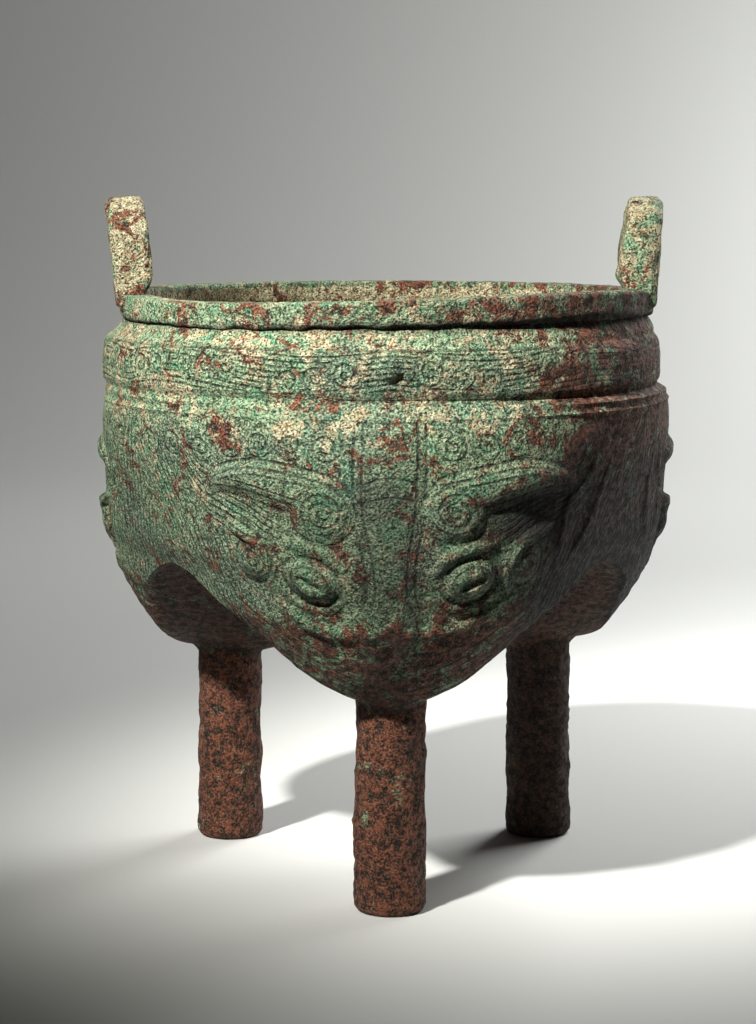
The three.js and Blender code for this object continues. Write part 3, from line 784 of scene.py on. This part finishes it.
# patches of bone and rust end in ragged edges, one over the other
bone_edge = maths("MULTIPLY_ADD", cream_at, 0.24, maths("MULTIPLY_ADD", grit, 0.12, cream_patch))
rust_edge = maths("MULTIPLY_ADD", brown_at, 0.24, maths("MULTIPLY_ADD", grain_tint, 0.12, patch))
bone_shown = over(bone_edge, 0.70, 0.74)
rust_shown = over(rust_edge, 0.67, 0.71)
colour = mixed(rust_shown, mixed(bone_shown, green, bone), rust)

# pale tips on the grains, dark pits between them, dirt in the cut lines, and painted shade from the mesh's
# third stain number
pale = times(over(grain, 0.54, 0.66), maths("MULTIPLY_ADD", rust_shown, -0.45, 0.55))
colour = mixed(pale, colour, linear("#d2dcb8"))
colour = mixed(times(over(grain, 0.48, 0.38), 0.9), colour, linear("#15170f"))
colour = mixed(times(cut, 0.8), colour, linear("#181d13"))
# painted shade: darker under the lip and the right horn, on the right side, on the underside and on the right
# leg
colour = mixed(painted_shade_at, colour, linear("#120d08"))
tree.links.new(colour, shader.inputs["Base Color"])

# raised clusters are rubbed a little smoother than the hollows between them
gloss = {"Value": crumb, "From Min": 0.4, "From Max": 0.62, "To Min": 0.9, "To Max": 0.62}
dull = wire(tree, "ShaderNodeMapRange", gloss)
tree.links.new(dull, shader.inputs["Roughness"])

vessel.data.materials.clear()
vessel.data.materials.append(patina)
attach(vessel, "root")
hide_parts("ding_vessel")


# ---- The studio ---------------------------------------------------------------------------------------
# A sheet of pale grey paper lies under the vessel and sweeps up behind it. A focused lamp stands high
# on the left in front. Two soft boxes and a small lamp light the paper from behind on the right.
FLOOR_WIDTH = 6.0
FLOOR_BACK = 1.9
SWEEP_RADIUS = 0.7
PAPER_TOP = 4.0
sweep_from = FLOOR_BACK - SWEEP_RADIUS
sweep_line = [(-FLOOR_WIDTH / 2, 0.0), (sweep_from, 0.0)]
sweep_line += [(sweep_from + SWEEP_RADIUS * math.sin(a), SWEEP_RADIUS - SWEEP_RADIUS * math.cos(a))
               for a in np.linspace(0.1, math.pi / 2, 16)]
sweep_line.append((FLOOR_BACK, PAPER_TOP))
paper_mesh = bpy.data.meshes.new("paper floor")
paper_mesh.from_pydata([(x, y, z) for y, z in sweep_line for x in (-FLOOR_WIDTH / 2, FLOOR_WIDTH / 2)], [],
                       [(2 * k, 2 * k + 1, 2 * k + 3, 2 * k + 2) for k in range(len(sweep_line) - 1)])
paper_mesh.shade_smooth()
floor = bpy.data.objects.new("paper floor", paper_mesh)
bpy.context.collection.objects.link(floor)
paper = bpy.data.materials.new("uncoated grey paper")
paper.use_nodes = True
paper.node_tree.nodes["Principled BSDF"].inputs["Base Color"].default_value = linear("#d5d6d2")
paper.node_tree.nodes["Principled BSDF"].inputs["Roughness"].default_value = 0.9
paper_mesh.materials.append(paper)


def add_lamp(name, kind, place, aim, watts):
    lamp = bpy.data.objects.new(name, bpy.data.lights.new(name, kind))
    lamp.data.energy = watts
    lamp.location = place
    lamp.rotation_euler = (Vector(place) - Vector(aim)).to_track_quat("Z", "Y").to_euler()
    bpy.context.collection.objects.link(lamp)
    return lamp.data


KEY_AROUND = math.radians(-128)
KEY_UP = math.radians(44)
KEY_AWAY = 2.5
key_aim = Vector((0.02, 0.0, 0.155))
key_from = Matrix.Rotation(KEY_AROUND, 3, "Z") @ Vector((math.cos(KEY_UP), 0, math.sin(KEY_UP)))
key = add_lamp("focused key lamp", "SPOT", key_aim + KEY_AWAY * key_from, key_aim, 950)
key.color = (1.0, 0.98, 0.94)
key.shadow_soft_size = 0.12
key.spot_size = math.radians(9.2)
key.spot_blend = 1.0

over_paper = add_lamp("soft box over the paper", "AREA", (0.75, 0.8, 0.8), (0.25, 0.4, 0.0), 13.5)
over_paper.size = 0.7
on_backdrop = add_lamp("soft box on the backdrop", "AREA", (0.9, 1.3, 0.5), (0.5, 1.9, 0.5), 6)
on_backdrop.size = 0.4

low = add_lamp("lamp on the paper", "SPOT", (0.55, 0.95, 0.9), (0.27, 0.29, 0.0), 40)
low.shadow_soft_size = 0.15
low.spot_size = math.radians(34)
low.spot_blend = 1.0

world = bpy.data.worlds.new("dim studio")
world.use_nodes = True
world.node_tree.nodes["Background"].inputs["Color"].default_value = linear("#8a8c8c")
world.node_tree.nodes["Background"].inputs["Strength"].default_value = 0.06
bpy.context.scene.world = world
bpy.context.scene.view_settings.view_transform = "Standard"

# camera: a long lens a little above the rim, turned a degree round the vessel
LENS_DISTANCE = 0.8906
LENS_HEIGHT = 0.2407
LENS_DIP = math.radians(2.61)
LENS_TURN = math.radians(-1.0)
camera = bpy.data.objects.new("camera", bpy.data.cameras.new("camera"))
camera.data.lens = 86.8
camera.data.sensor_width = 36
camera.data.shift_y = -0.2
camera.location = axis + Matrix.Rotation(LENS_TURN, 4, "Z") @ Vector((-0.0029, -LENS_DISTANCE, LENS_HEIGHT))
camera.rotation_euler = (math.pi / 2 - LENS_DIP, 0, LENS_TURN)
bpy.context.collection.objects.link(camera)
bpy.context.scene.camera = camera
